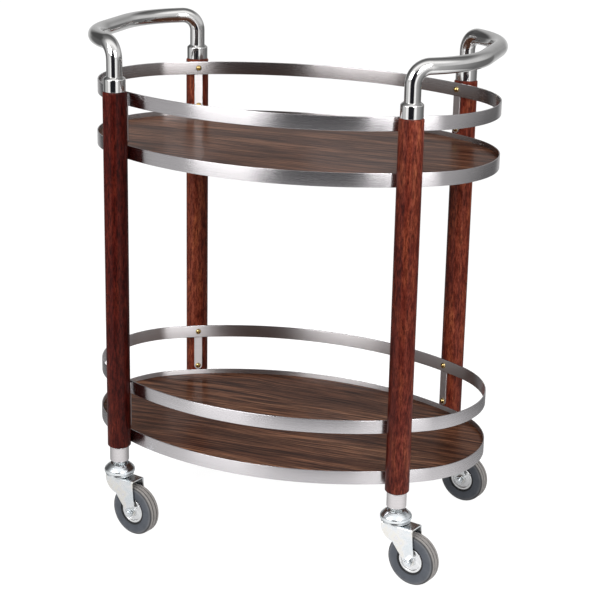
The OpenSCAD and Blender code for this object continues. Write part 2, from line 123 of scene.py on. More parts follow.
world = bpy.data.worlds.new("white_studio")
scene.world = world
world.use_nodes = True
sky = world.node_tree
sky.nodes.clear()
sky_parts = turned_to_view(sky, add_node(sky, "ShaderNodeTexCoord").outputs["Generated"])
towards = add_node(sky, "ShaderNodeMath", {0: sky_parts["Y"], 1: -1.0}, operation="MULTIPLY").outputs[0]
bearing = add_node(sky, "ShaderNodeMath", {0: sky_parts["X"], 1: towards}, operation="ARCTAN2").outputs[0]
bearing = mapped(sky, bearing, -math.pi, math.pi)
STRIP_TOP, ROOF_EDGE, ROOF_FULL, ROOF_DEPTH = 0.15, 0.48, 0.68, 0.6
STUDIO_STRENGTH, BACKDROP_STRENGTH = 1.2, 1.05
UNLIT, WHITE = (0.012, 0.012, 0.0156), (1, 1, 1, 1)


def bearing_ramp(stops):
    return add_ramp(sky, bearing, [((degrees + 180) / 360, tone) for degrees, tone in stops])


strips = bearing_ramp([
    (-180, 0.55), (-155, 0.50), (-138, 0.12), (-112, 0.10), (-88, 0.58), (-66, 0.50), (-60, 1.0),
    (-40, 1.0), (-36, UNLIT), (15, UNLIT), (19, 1.0), (38, 1.0), (45, 0.42), (75, 0.28), (110, 0.14),
    (140, 0.14), (155, 0.50), (180, 0.55)])
ceiling = bearing_ramp([
    (-180, 0.46), (-164, 0.40), (-148, 0.07), (-112, 0.07), (-86, 0.50), (-66, 0.50), (-40, 0.30),
    (-33, UNLIT), (6, UNLIT), (12, 0.25), (40, 0.56), (80, 0.66), (115, 0.58), (148, 0.30),
    (164, 0.40), (180, 0.46)])
roof = add_ramp(sky, mapped(sky, towards, -ROOF_DEPTH, ROOF_DEPTH), [
    (0.0, 0.10), (0.40, 0.24), (0.60, (0.90, 0.895, 0.89)), (0.80, (1.12, 1.115, 1.11)),
    (1.0, (0.75, 0.745, 0.74))])
walls = mixed_colour(sky, mapped(sky, sky_parts["Z"], 0.0, STRIP_TOP), strips, ceiling)
room = mixed_colour(sky, mapped(sky, sky_parts["Z"], ROOF_EDGE, ROOF_FULL), walls, roof)
room_light = add_node(sky, "ShaderNodeBackground", {"Color": room, "Strength": STUDIO_STRENGTH}).outputs[0]
backdrop = add_node(sky, "ShaderNodeBackground", {"Color": WHITE, "Strength": BACKDROP_STRENGTH}).outputs[0]
seen = add_node(sky, "ShaderNodeLightPath").outputs["Is Camera Ray"]
sky_mix = add_node(sky, "ShaderNodeMixShader", {0: seen, 1: room_light, 2: backdrop}).outputs[0]
add_node(sky, "ShaderNodeOutputWorld", {"Surface": sky_mix})
PANEL_AIM, PANEL_DISTANCE = 0.6, 2.6
for panel_name, bearing_off, tip, width, height, power, mirrored in (
        ("left_soft_panel", -48, 27, 1.56, 1.2, 46, True),
        ("right_soft_panel", 23, 27, 1.15, 1.2, 42, True),
        ("rear_fill_panel", 157, 20, 1.5, 1.0, 32, False)):
    panel_light = bpy.data.lights.new(panel_name, "AREA")
    panel_light.shape = "RECTANGLE"
    panel_light.size, panel_light.size_y = width, height
    panel_light.energy = power
    panel = bpy.data.objects.new(panel_name, panel_light)
    panel_way = bearing_way(view_turn + math.radians(bearing_off), math.radians(tip))
    panel.location = Vector((0, 0, PANEL_AIM)) + panel_way * PANEL_DISTANCE
    panel.rotation_euler = panel_way.to_track_quat("Z", "Y").to_euler()
    panel.visible_glossy = mirrored
    scene.collection.objects.link(panel)


# Floor: a plain white studio table, a smooth painted disc that is large enough for the wheels' soft shadows
# and ends before the camera. It glows evenly white to the camera. For reflections and bounce light its glow
# is painted to fall off from the front towards the back, which is painted light.
def new_finish(name):
    finish = bpy.data.materials.new(name)
    finish.use_nodes = True
    tree = finish.node_tree
    tree.nodes.clear()
    return finish, tree, add_node(tree, "ShaderNodeTexCoord").outputs["Object"]


def end_finish(tree, sockets):
    shader = add_node(tree, "ShaderNodeBsdfPrincipled", sockets)
    add_node(tree, "ShaderNodeOutputMaterial", {"Surface": shader.outputs[0]})


def grain_noise(tree, place, spread, detail, roughness):
    if isinstance(spread, tuple):
        place = add_node(tree, "ShaderNodeMapping", {"Vector": place, "Scale": spread}).outputs[0]
        spread = 1.0
    sockets = {"Vector": place, "Scale": spread, "Detail": detail, "Roughness": roughness}
    return add_node(tree, "ShaderNodeTexNoise", sockets).outputs["Fac"]


def mesh_piece(name, verts, faces, finish):
    mesh = bpy.data.meshes.new(name)
    mesh.from_pydata([tuple(v) for v in verts], [], faces)
    mesh.validate()
    mesh.update()
    mesh.materials.append(finish)
    piece = bpy.data.objects.new(name, mesh)
    scene.collection.objects.link(piece)
    return piece


FLOOR_RADIUS, FLOOR_SIDES, FLOOR_DROP = 1.05, 128, 0.0005
FLOOR_GLOW, PAINTED_FALL_REACH = 0.95, 0.40
paint, paint_tree, paint_place = new_finish("white_floor_paint")
paint_cloud = grain_noise(paint_tree, paint_place, 3.0, 3.0, 0.5)
paint_tone = add_ramp(paint_tree, paint_cloud, [(0.3, (0.145, 0.145, 0.148)), (0.7, 0.155)])
# Painted light: for reflections and bounce light the floor's glow falls from full strength in front to dim at
# the back.
paint_depth = mapped(paint_tree, turned_to_view(paint_tree, paint_place)["Y"], PAINTED_FALL_REACH, -PAINTED_FALL_REACH)
painted_glow_fall = add_ramp(paint_tree, paint_depth, [(0.0, 0.10), (0.5, 0.44), (1.0, 1.0)])
paint_seen = add_node(paint_tree, "ShaderNodeLightPath").outputs["Is Camera Ray"]
paint_glow = add_node(paint_tree, "ShaderNodeMix", {0: paint_seen, 2: painted_glow_fall, 3: FLOOR_GLOW}).outputs[0]
end_finish(paint_tree, {"Base Color": paint_tone, "Roughness": 0.9, "Emission Color": WHITE,
                        "Emission Strength": paint_glow})
floor_turns = [2 * math.pi * i / FLOOR_SIDES for i in range(FLOOR_SIDES)]
floor_ring = [(FLOOR_RADIUS * math.cos(turn), FLOOR_RADIUS * math.sin(turn), 0.0) for turn in floor_turns]
floor = mesh_piece("studio_floor", floor_ring, [tuple(range(FLOOR_SIDES))], paint)
floor.location = (0, 0, -FLOOR_DROP)


# Boards: two oval panels of walnut laminate on wood core, cut to drop into the bands and screwed up from the
# tabs. The figure runs along the trolley and a clear lacquer lies over it.
def bumped(tree, height, strength, distance):
    sockets = {"Height": height, "Strength": strength, "Distance": distance}
    return add_node(tree, "ShaderNodeBump", sockets).outputs[0]


GRAIN_SWAY = (0, 0.05, 0)
walnut, walnut_tree, board_place = new_finish("walnut_laminate")
board_sway = grain_noise(walnut_tree, board_place, (3.0, 6.0, 90.0), 2.0, 0.5)
sway_vector = add_node(walnut_tree, "ShaderNodeCombineXYZ", {"Y": board_sway}).outputs[0]
board_drift = add_node(walnut_tree, "ShaderNodeVectorMath", {0: sway_vector, 1: GRAIN_SWAY, 2: board_place},
                       operation="MULTIPLY_ADD").outputs[0]
broad_figure = grain_noise(walnut_tree, board_drift, (2.0, 40.0, 9.0), 5.0, 0.60)
fine_figure = grain_noise(walnut_tree, board_drift, (10.0, 330.0, 20.0), 6.0, 0.70)
pore_lines = grain_noise(walnut_tree, board_drift, (16.0, 620.0, 20.0), 3.0, 0.6)
broad_tone = add_ramp(walnut_tree, broad_figure, [
    (0.32, (0.034, 0.0122, 0.0070)), (0.44, (0.062, 0.0252, 0.0144)), (0.56, (0.099, 0.0430, 0.0248)),
    (0.68, (0.150, 0.0715, 0.0415))])
fine_tone = add_ramp(walnut_tree, fine_figure, [
    (0.40, (0.16, 0.12, 0.11)), (0.47, (0.55, 0.49, 0.46)), (0.52, (0.95, 0.92, 0.90)),
    (0.60, (2.0, 1.95, 1.80))])
pore_tone = add_ramp(walnut_tree, pore_lines, [(0.30, (0.35, 0.30, 0.28)), (0.42, 1.0)])
figure_tone = mixed_colour(walnut_tree, 0.9, broad_tone, fine_tone, "MULTIPLY")
laminate_tone = mixed_colour(walnut_tree, 0.7, figure_tone, pore_tone, "MULTIPLY")
laminate_gloss = add_ramp(walnut_tree, fine_figure, [(0.3, 0.36), (0.7, 0.27)])
laminate_bump = bumped(walnut_tree, fine_figure, 0.12, 0.0004)
end_finish(walnut_tree, {"Base Color": laminate_tone, "Roughness": laminate_gloss, "Normal": laminate_bump,
                         "Coat Weight": 0.09, "Coat Roughness": 0.18, "Specular IOR Level": 0.03})
for board in ("lower_board", "upper_board"):
    frame["nodes"][board].data.materials[0] = walnut

# Bands: stainless strip stood on edge, bent round each board and welded at its ends, with the rim a little
# proud of the board. It is brushed along its length, ground inside on the lower tier, and its edges are
# broken. Inside the upper tier it is a darker copy of the brushed steel, which is painted shade.
TRAY_HALF_LENGTH, TRAY_HALF_WIDTH, TRAY_END_RADIUS = 0.332, 0.206, 0.150
ARC_STEPS, CORNER_SHARE, HAIR = 72, 0.45, 1e-6


def oval_walk(inset):
    end_centre = TRAY_HALF_LENGTH - TRAY_END_RADIUS
    side_radius = ((end_centre ** 2 + TRAY_HALF_WIDTH ** 2 - TRAY_END_RADIUS ** 2)
                   / (2 * (TRAY_HALF_WIDTH - TRAY_END_RADIUS)))
    side_centre = side_radius - TRAY_HALF_WIDTH
    join = math.atan2(side_centre, end_centre)
    walk = []
    for centre, radius, start, end in (
            ((end_centre, 0), TRAY_END_RADIUS, -join, join),
            ((0, -side_centre), side_radius, join, math.pi - join),
            ((-end_centre, 0), TRAY_END_RADIUS, math.pi - join, math.pi + join),
            ((0, side_centre), side_radius, math.pi + join, 2 * math.pi - join)):
        for i in range(ARC_STEPS):
            angle = start + (end - start) * i / ARC_STEPS
            normal = Vector((math.cos(angle), math.sin(angle), 0))
            walk.append((Vector((*centre, 0)) + normal * (radius - inset), normal))
    return walk


def rounded(corners, radius, steps=4):
    points = []
    count = len(corners)
    for i in range(count):
        before, corner, after = (Vector(corners[(i + k) % count]) for k in (-1, 0, 1))
        into, out = before - corner, after - corner
        turn = math.pi - into.angle(out)
        reach = min(radius * math.tan(turn / 2), into.length * CORNER_SHARE, out.length * CORNER_SHARE)
        if reach < HAIR:
            points.append(corner)
            continue
        first, last = corner + into.normalized() * reach, corner + out.normalized() * reach
        for k in range(steps + 1):
            t = k / steps
            points.append(first * (1 - t) ** 2 + corner * 2 * t * (1 - t) + last * t ** 2)
    return points


def shade_smooth(piece, degrees=32):
    for face in piece.data.polygons:
        face.use_smooth = True
    piece.data.set_sharp_from_angle(angle=math.radians(degrees))
    return piece


def hoop(name, top, size, edge, inset, finish, inner_finish):
    wall, height = size
    section = rounded([(0, top - height), (0, top), (-wall, top), (-wall, top - height)], edge)
    walk = oval_walk(inset)
    count = len(section)
    verts = [place + normal * out + Vector((0, 0, rise)) for place, normal in walk for out, rise in section]
    faces = []
    for i in range(len(walk)):
        j = (i + 1) % len(walk)
        for k in range(count):
            m = (k + 1) % count
            faces.append((i * count + k, j * count + k, j * count + m, i * count + m))
    piece = shade_smooth(mesh_piece(name, verts, faces, finish))
    piece.data.materials.append(inner_finish)
    inner_out = min(out for out, rise in section) + HAIR
    inside = [out < inner_out for out, rise in section]
    for face in piece.data.polygons:
        k = face.index % count
        face.material_index = 1 if inside[k] and inside[(k + 1) % count] else 0
    return piece


def brushed_steel(name, darker, lighter, coarse=0.28, fine=0.25):
    finish, tree, place = new_finish(name)
    lines = grain_noise(tree, place, (5.0, 5.0, 700.0), 4.0, 0.7)
    cloud = grain_noise(tree, place, 9.0, 3.0, 0.55)
    tone = add_ramp(tree, lines, [(0.3, darker), (0.7, lighter)])
    smear = add_ramp(tree, cloud, [(0.3, (0.93, 0.93, 0.94)), (0.7, 1.0)])
    colour = mixed_colour(tree, 1.0, tone, smear, "MULTIPLY")
    rough = add_ramp(tree, lines, [(0.3, coarse), (0.7, fine)])
    round_way = add_node(tree, "ShaderNodeTangent", direction_type="RADIAL", axis="Z").outputs[0]
    end_finish(tree, {"Base Color": colour, "Metallic": 1.0, "Roughness": rough,
                      "Normal": bumped(tree, lines, 0.015, 0.0002), "Anisotropic": 1.0,
                      "Anisotropic Rotation": 0.25, "Tangent": round_way})
    return finish


brushed = brushed_steel("brushed_stainless", (0.535, 0.515, 0.525), (0.585, 0.565, 0.575))
# A darker copy of the brushed steel: painted shade for the upper tier's inner faces.
shaded_inner_steel = brushed_steel("shaded_inner_stainless", (0.37, 0.35, 0.35), (0.41, 0.39, 0.39))
ground_finish = brushed_steel("ground_stainless", (0.595, 0.572, 0.576), (0.65, 0.627, 0.63), 0.36, 0.33)
INNER_FINISH_AND_SHADE = {"lower": ground_finish, "upper": shaded_inner_steel}
BAND_SIZE, BAND_EDGE = (0.0015, 0.022), 0.0005
for tier in ("lower", "upper"):
    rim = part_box(tier + "_band")[1].z
    band = hoop(tier + "_steel_band", rim, BAND_SIZE, BAND_EDGE, 0.0, brushed, INNER_FINISH_AND_SHADE[tier])
    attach(band, "frame")
    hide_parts(tier + "_band")


# Board tabs and hidden screws: small steel tabs welded inside the bands, with zinc-plated screws up into the
# boards and outwards into the posts. They show only from below.
def plain_metal(name, tone_grain, tones, rough_grain, roughs, bump_grain=None, bump=None):
    finish, tree, place = new_finish(name)
    sockets = {"Metallic": 1.0}
    sockets["Base Color"] = add_ramp(tree, grain_noise(tree, place, *tone_grain), tones)
    sockets["Roughness"] = add_ramp(tree, grain_noise(tree, place, *rough_grain), roughs)
    if bump:
        sockets["Normal"] = bumped(tree, grain_noise(tree, place, *bump_grain), *bump)
    end_finish(tree, sockets)
    return finish


PLATE_CLOUD = (60.0, 4.0, 0.6)
plated = plain_metal(
    "zinc_plate", (22.0, 2.0, 0.5),
    [(0.30, (0.66, 0.72, 0.74)), (0.50, (0.74, 0.755, 0.75)), (0.68, (0.78, 0.745, 0.68))],
    PLATE_CLOUD, [(0.3, 0.30), (0.7, 0.40)], PLATE_CLOUD, (0.08, 0.0003))
for hidden, finish, slot in (("board_tabs", brushed, "tray_steel"), ("tab_screws", plated, "zinc"),
                             ("tray_screws", plated, "zinc")):
    frame["nodes"][hidden].data.materials[0] = finish

# Guard rails: flat stainless strip rolled to the same oval, closed by a weld and brushed along its length.
# Each stands above its tray on four straps.
RAIL_WALL, RAIL_HEIGHT, RAIL_EDGE, RAIL_INSET = 0.002, 0.022, 0.0008, 0.0016
# The rails' inner faces take the same tier finishes as the bands, so inside the upper rail there is painted
# shade.
for tier in ("lower", "upper"):
    rail_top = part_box(tier + "_rail")[1].z
    guard = hoop(tier + "_guard_rail", rail_top, (RAIL_WALL, RAIL_HEIGHT), RAIL_EDGE, RAIL_INSET, brushed,
                 INNER_FINISH_AND_SHADE[tier])
    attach(guard, "frame")
    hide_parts(tier + "_rail")

# Rail straps: upright stainless bars let into a flat on each post, rounded at the foot, which space the rail
# off the wood. They are cut from ground stock.
CORNERS = {"front_left": (-1, -1), "front_right": (1, -1), "rear_left": (-1, 1), "rear_right": (1, 1)}
JOINTS = {joint["name"]: joint for joint in frame["joints"]}
POST_X, POST_Y = JOINTS["swivel_rear_right"]["pos_m"][:2]
POST_RADIUS, CONTACT = 0.019, math.radians(61.2)
STRAP_HALF, STRAP_THICKNESS, STRAP_EDGE = 0.007, 0.003, 0.0005
STRAP_FOOT_GAP, STRAP_HEAD_DROP, FOOT_STEPS = 0.001, 0.0025, 16
BEVEL_FROM, BEVEL_STEPS, CREASE = 35, 2, 40
STRAP_FRONT = -POST_RADIUS - RAIL_INSET


def post_frame(corner):
    across, along = CORNERS[corner]
    away = math.atan2(along * math.sin(CONTACT), across * math.cos(CONTACT))
    return Matrix.Translation((across * POST_X, along * POST_Y, 0)) @ Matrix.Rotation(away, 4, "Z")


def slab(outline, near, far):
    count = len(outline)
    verts = [Vector((x, y, z)) for x in (near, far) for y, z in outline]
    faces = [tuple(range(count))[::-1], tuple(range(count, 2 * count))]
    faces += [(k, (k + 1) % count, count + (k + 1) % count, count + k) for k in range(count)]
    return verts, faces


def joined(parts):
    verts, faces = [], []
    for part_verts, part_faces in parts:
        faces += [tuple(index + len(verts) for index in face) for face in part_faces]
        verts += part_verts
    return verts, faces


def placed(matrix, part):
    return [matrix @ v for v in part[0]], part[1]


def broken_edges(piece, width):
    bevel = piece.modifiers.new("broken_edges", "BEVEL")
    bevel.width, bevel.segments, bevel.limit_method = width, BEVEL_STEPS, "ANGLE"
    bevel.angle_limit = math.radians(BEVEL_FROM)
    return shade_smooth(piece, CREASE)


def strap_foot_z(tier):
    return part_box(tier + "_band")[1].z + STRAP_FOOT_GAP + STRAP_HALF


for tier in ("lower", "upper"):
    head_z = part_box(tier + "_rail")[1].z - STRAP_HEAD_DROP
    foot_turns = [math.pi + math.pi * k / FOOT_STEPS for k in range(FOOT_STEPS + 1)]
    strap_outline = [(STRAP_HALF * math.cos(turn), strap_foot_z(tier) + STRAP_HALF * math.sin(turn))
                     for turn in foot_turns] + [(STRAP_HALF, head_z), (-STRAP_HALF, head_z)]
    strap = slab(strap_outline, STRAP_FRONT, STRAP_FRONT + STRAP_THICKNESS)
    strap_parts = [placed(post_frame(corner), strap) for corner in CORNERS]
    straps = broken_edges(mesh_piece(tier + "_straps", *joined(strap_parts), ground_finish), STRAP_EDGE)
    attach(straps, "frame")
    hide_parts(tier + "_rail_straps")

# Rail screws: domed brass screws with a cross recess, one through rail and strap and one through each strap's
# foot. The heads are turned and polished.
BRASS_CLOUD = (300.0, 3.0, 0.6)
brass = plain_metal("polished_brass", BRASS_CLOUD, [(0.3, (0.40, 0.28, 0.10)), (0.7, (0.62, 0.48, 0.23))],
                    BRASS_CLOUD, [(0.3, 0.22), (0.7, 0.12)])
HEAD_RADIUS, HEAD_HEIGHT, HEAD_SEAT, HEAD_WAIST = 0.005, 0.004, 0.001, 0.9
HEAD_RINGS, HEAD_SIDES, HEAD_CREASE = 14, 48, 45
RECESS_MIDDLE, RECESS_DEPTH, RECESS_HALF, RECESS_REACH = 0.0014, 0.0013, 0.00065, 0.0027


def domed_head(front, height):
    dome = (HEAD_RADIUS ** 2 + HEAD_HEIGHT ** 2) / (2 * HEAD_HEIGHT)
    turns = [2 * math.pi * k / HEAD_SIDES for k in range(HEAD_SIDES)]
    verts = [Vector((front - HEAD_HEIGHT + RECESS_MIDDLE, 0, height))]
    for ring in range(1, HEAD_RINGS + 1):
        radius = HEAD_RADIUS * ring / HEAD_RINGS
        rise = math.sqrt(max(dome ** 2 - radius ** 2, 0)) - (dome - HEAD_HEIGHT)
        for turn in turns:
            y, z = radius * math.cos(turn), radius * math.sin(turn)
            cut = min(abs(y), abs(z)) < RECESS_HALF and max(abs(y), abs(z)) < RECESS_REACH
            verts.append(Vector((front - rise + (RECESS_DEPTH if cut else 0), y, height + z)))
    for last in verts[-HEAD_SIDES:]:
        seat_z = height + (last.z - height) * HEAD_WAIST
        verts.append(Vector((front + HEAD_SEAT, last.y * HEAD_WAIST, seat_z)))
    faces = [(0, 1 + (k + 1) % HEAD_SIDES, 1 + k) for k in range(HEAD_SIDES)]
    for ring in range(HEAD_RINGS):
        for k in range(HEAD_SIDES):
            a, b = 1 + ring * HEAD_SIDES + k, 1 + ring * HEAD_SIDES + (k + 1) % HEAD_SIDES
            faces.append((a, b, b + HEAD_SIDES, a + HEAD_SIDES))
    faces.append(tuple(1 + HEAD_RINGS * HEAD_SIDES + k for k in range(HEAD_SIDES)))
    return verts, faces


for tier in ("lower", "upper"):
    rail_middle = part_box(tier + "_rail")[1].z - RAIL_HEIGHT / 2
    heads = []
    for corner in CORNERS:
        heads.append(placed(post_frame(corner), domed_head(STRAP_FRONT - RAIL_WALL, rail_middle)))
        heads.append(placed(post_frame(corner), domed_head(STRAP_FRONT, strap_foot_z(tier))))
    screws = shade_smooth(mesh_piece(tier + "_brass_screws", *joined(heads), brass), HEAD_CREASE)
    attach(screws, "frame")
    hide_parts(tier + "_rail_screws")


# Posts: four turned hardwood legs, stained to a deep red-brown mahogany and lacquered, with both ends eased.
# Each is painted darker on one side and paler on the other, which is painted light and shade. The front-right
# post is painted paler and pinker towards its top, which is a painted sheen. The trays and straps are screwed
# to them, and the handles let in.
def turned(profile, around):
    verts, faces = [], []
    size = len(profile)
    for k in range(around):
        turn = 2 * math.pi * k / around
        verts += [Vector((r * math.cos(turn), r * math.sin(turn), z)) for r, z in profile]
    for k in range(around):
        n = (k + 1) % around
        for i in range(size):
            j = (i + 1) % size
            if profile[i][0] > HAIR or profile[j][0] > HAIR:
                faces.append((k * size + i, n * size + i, n * size + j, k * size + j))
    return verts, faces


def welded(piece):
    shell = bmesh.new()
    shell.from_mesh(piece.data)
    bmesh.ops.remove_doubles(shell, verts=shell.verts, dist=HAIR)
    bmesh.ops.dissolve_degenerate(shell, dist=HAIR / 10, edges=shell.edges)
    bmesh.ops.recalc_face_normals(shell, faces=shell.faces)
    shell.to_mesh(piece.data)
    shell.free()
    return piece


def turned_piece(name, profile, finish, around=64, degrees=50):
    return shade_smooth(welded(mesh_piece(name, *turned(profile, around), finish)), degrees)


POST_EASE, EASE_ROUND, POST_SIDES, POST_CREASE = 0.002, 0.0016, 72, 32
GRAIN_STEP, STAIN_AND_SHEEN_RUN = 0.9, 3.6
PAINTED_SIDE_LIGHT_BEARING = {"front_left": -100, "front_right": 48, "rear_left": -35, "rear_right": 26}
mahogany, mahogany_tree, post_place = new_finish("lacquered_mahogany")
growth = grain_noise(mahogany_tree, post_place, (60.0, 60.0, 13.0), 4.0, 0.6)
long_streaks = grain_noise(mahogany_tree, post_place, (300.0, 300.0, 62.0), 6.0, 0.72)
pore_flecks = grain_noise(mahogany_tree, post_place, (800.0, 800.0, 170.0), 3.0, 0.6)
post_parts = add_node(mahogany_tree, "ShaderNodeSeparateXYZ", {"Vector": post_place}).outputs
growth_tone = add_ramp(mahogany_tree, growth, [
    (0.30, (0.058, 0.0085, 0.0058)), (0.50, (0.092, 0.0145, 0.0085)), (0.70, (0.138, 0.0280, 0.0130))])
streak_tone = add_ramp(mahogany_tree, long_streaks, [
    (0.37, (0.24, 0.20, 0.22)), (0.46, (0.66, 0.61, 0.63)), (0.52, 1.0), (0.61, (1.5, 1.8, 1.8))])
fleck_tone = add_ramp(mahogany_tree, pore_flecks, [(0.36, (0.22, 0.18, 0.18)), (0.46, 1.0)])
# Stain tone by post, each post on its own stretch of this ramp. The front-right post's paler, pinker top is a
# painted sheen.
stain_and_sheen_depth = add_ramp(mahogany_tree, mapped(mahogany_tree, post_parts["Z"], 0.0, STAIN_AND_SHEEN_RUN), [
    (0.17, (0.60, 0.42, 0.46)), (0.24, (1.00, 1.10, 1.15)), (0.30, (0.85, 0.82, 0.82)), (0.375, 0.95),
    (0.42, (1.65, 2.10, 2.00)), (0.49, (1.42, 1.65, 1.35)), (0.67, (1.42, 1.65, 1.35)),
    (0.74, (1.25, 1.35, 1.20))])
# Painted light and shade: each post is darker on one side and paler on the other across its width.
painted_side_light_tone = add_ramp(mahogany_tree, mapped(mahogany_tree, post_parts["X"], -POST_RADIUS, POST_RADIUS), [
    (0.0, (0.60, 0.56, 0.56)), (0.5, (0.82, 0.80, 0.80)), (0.8, (1.08, 1.10, 1.10)),
    (1.0, (1.34, 1.44, 1.48))])
post_tone = growth_tone
for share, layer in ((0.85, streak_tone), (0.65, fleck_tone), (1.0, stain_and_sheen_depth), (1.0, painted_side_light_tone)):
    post_tone = mixed_colour(mahogany_tree, share, post_tone, layer, "MULTIPLY")
post_rough = add_ramp(mahogany_tree, long_streaks, [(0.3, 0.42), (0.7, 0.30)])
end_finish(mahogany_tree, {"Base Color": post_tone, "Roughness": post_rough,
                           "Normal": bumped(mahogany_tree, long_streaks, 0.10, 0.0004),
                           "Coat Weight": 0.04, "Coat Roughness": 0.08, "Specular IOR Level": 0.07})
for number, (corner, (across, along)) in enumerate(CORNERS.items()):
    low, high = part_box("post_" + corner)
    foot = GRAIN_STEP * number
    head = foot + high.z - low.z
    post_profile = rounded([
        (0.0, foot), (POST_RADIUS - POST_EASE, foot), (POST_RADIUS, foot + POST_EASE),
        (POST_RADIUS, head - POST_EASE), (POST_RADIUS - POST_EASE, head), (0.0, head)], EASE_ROUND, steps=5)
    post = turned_piece("mahogany_post_" + corner, post_profile, mahogany, POST_SIDES, POST_CREASE)
    # Turns each post so that its painted light side lies at a set bearing from the camera.
    painted_side_light_way = view_turn + math.radians(PAINTED_SIDE_LIGHT_BEARING[corner] - 90)
    post.matrix_world = (Matrix.Translation((across * POST_X, along * POST_Y, low.z - foot))
                         @ Matrix.Rotation(painted_side_light_way, 4, "Z"))
    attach(post, "frame")
    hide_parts("post_" + corner)


# Handles: chromed steel tube, one length for each end, bent up out of two posts and round in a level bow for
# the hands. The legs are let into the posts.
def tube(name, line, radius, finish, around=40):
    verts, faces = [], []
    turns = [2 * math.pi * k / around for k in range(around)]
    side = Vector((0, 1, 0))
    last = len(line) - 1
    for i, point in enumerate(line):
        ahead = (line[min(i + 1, last)] - line[max(i - 1, 0)]).normalized()
        side = (side - ahead * side.dot(ahead)).normalized()
        other = ahead.cross(side)
        verts += [point + (side * math.cos(turn) + other * math.sin(turn)) * radius for turn in turns]
    for i in range(last):
        for k in range(around):
            m = (k + 1) % around
            faces.append((i * around + k, i * around + m, (i + 1) * around + m, (i + 1) * around + k))
    faces += [tuple(range(around))[::-1], tuple(last * around + k for k in range(around))]
    return shade_smooth(mesh_piece(name, verts, faces, finish))


CHROME_CLOUD = (26.0, 4.0, 0.6)
chrome = plain_metal(
    "bright_chrome", CHROME_CLOUD, [(0.3, (0.68, 0.675, 0.67)), (0.7, (0.76, 0.755, 0.75))],
    CHROME_CLOUD, [(0.3, 0.13), (0.7, 0.08)], (420.0, 2.0, 0.5), (0.012, 0.0002))
TUBE_RADIUS, LEG_BEND, ARM, BOW_RADIUS = 0.0125, 0.026, 0.001, 0.139
ARM_OUT, ARM_IN = 0.8, 0.6
LEG_STEPS, BEND_STEPS, BOW_STEPS = 6, 18, 28
for side_name, across in (("left", -1), ("right", 1)):
    low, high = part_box("handle_" + side_name)
    bow_z = high.z - TUBE_RADIUS
    bend_z = bow_z - LEG_BEND
    half_line = [Vector((0, -POST_Y, low.z + (bend_z - low.z) * k / LEG_STEPS)) for k in range(LEG_STEPS)]
    for k in range(BEND_STEPS + 1):
        turn = math.pi / 2 * k / BEND_STEPS
        run = LEG_BEND * (1 - math.cos(turn))
        half_line.append(Vector((run * ARM_OUT, run * ARM_IN - POST_Y, bend_z + LEG_BEND * math.sin(turn))))
    arm_end = LEG_BEND + ARM
    bow_centre = Vector((arm_end * ARM_OUT - BOW_RADIUS * ARM_IN,
                         arm_end * ARM_IN - POST_Y + BOW_RADIUS * ARM_OUT, bow_z))
    for k in range(BOW_STEPS + 1):
        turn = math.acos(ARM_IN) * (1 - k / BOW_STEPS)
        half_line.append(bow_centre + BOW_RADIUS * Vector((math.cos(turn), -math.sin(turn), 0)))
    whole_line = half_line + [Vector((p.x, -p.y, p.z)) for p in reversed(half_line)]
    whole_line = [Vector((across * (POST_X + p.x), p.y, p.z)) for p in whole_line]
    handle = welded(tube("chrome_handle_" + side_name, whole_line, TUBE_RADIUS, chrome))
    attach(handle, "frame")
    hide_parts("handle_" + side_name)


# Handle ferrules: turned and chromed collars that cover the joint of tube and wood, with a rounded shoulder
# and a fine line where the tube leaves them. An outline's points are a radius and a height from one end.
def raised(outline, z):
    return [(radius, z + rise) for radius, rise in outline]


def hung(outline, z):
    return [(radius, z - drop) for radius, drop in outline]


FERRULE_RADIUS, FERRULE_BORE, FERRULE_ROUND = 0.0175, 0.0126, 0.0022
FERRULE_FOOT = [(FERRULE_BORE, 0), (0.0171, 0), (FERRULE_RADIUS, 0.0006)]
FERRULE_SHOULDER = [(FERRULE_RADIUS, 0.0032), (0.0139, 0), (0.0132, 0), (FERRULE_BORE, 0.0014)]
for corner, (across, along) in CORNERS.items():
    low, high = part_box("handle_ferrule_" + corner)
    ferrule_outline = raised(FERRULE_FOOT, low.z) + hung(FERRULE_SHOULDER, high.z)
    ferrule_profile = rounded(ferrule_outline, FERRULE_ROUND, steps=6)
    ferrule = turned_piece("chrome_ferrule_" + corner, ferrule_profile, chrome)
    ferrule.location = (across * POST_X, along * POST_Y, 0)
    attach(ferrule, "frame")
    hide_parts("handle_ferrule_" + corner)

# Caster sockets: nickel-plated collars under the posts, with a spigot up inside the wood and a rounded lower
# edge. They take the caster stems.
NICKEL_LINES = ((30.0, 30.0, 900.0), 4.0, 0.6)
nickel = plain_metal(
    "satin_nickel", NICKEL_LINES, [(0.3, (0.555, 0.53, 0.535)), (0.7, (0.60, 0.575, 0.58))],
    NICKEL_LINES, [(0.3, 0.24), (0.7, 0.18)])
SOCKET_RADIUS, SOCKET_WAIST, SOCKET_ROUND = 0.016, 0.0156, 0.0016
SPIGOT_RADIUS, STEM_BORE = 0.011, 0.0061
SOCKET_LIP = [(STEM_BORE, 0), (0.0134, 0), (SOCKET_WAIST, 0.003)]
SOCKET_COLLAR = [(SOCKET_WAIST, 0.0026), (SOCKET_RADIUS, 0.0022), (SOCKET_RADIUS, 0), (SPIGOT_RADIUS, 0)]
SPIGOT_END = [(SPIGOT_RADIUS, 0), (STEM_BORE, 0)]
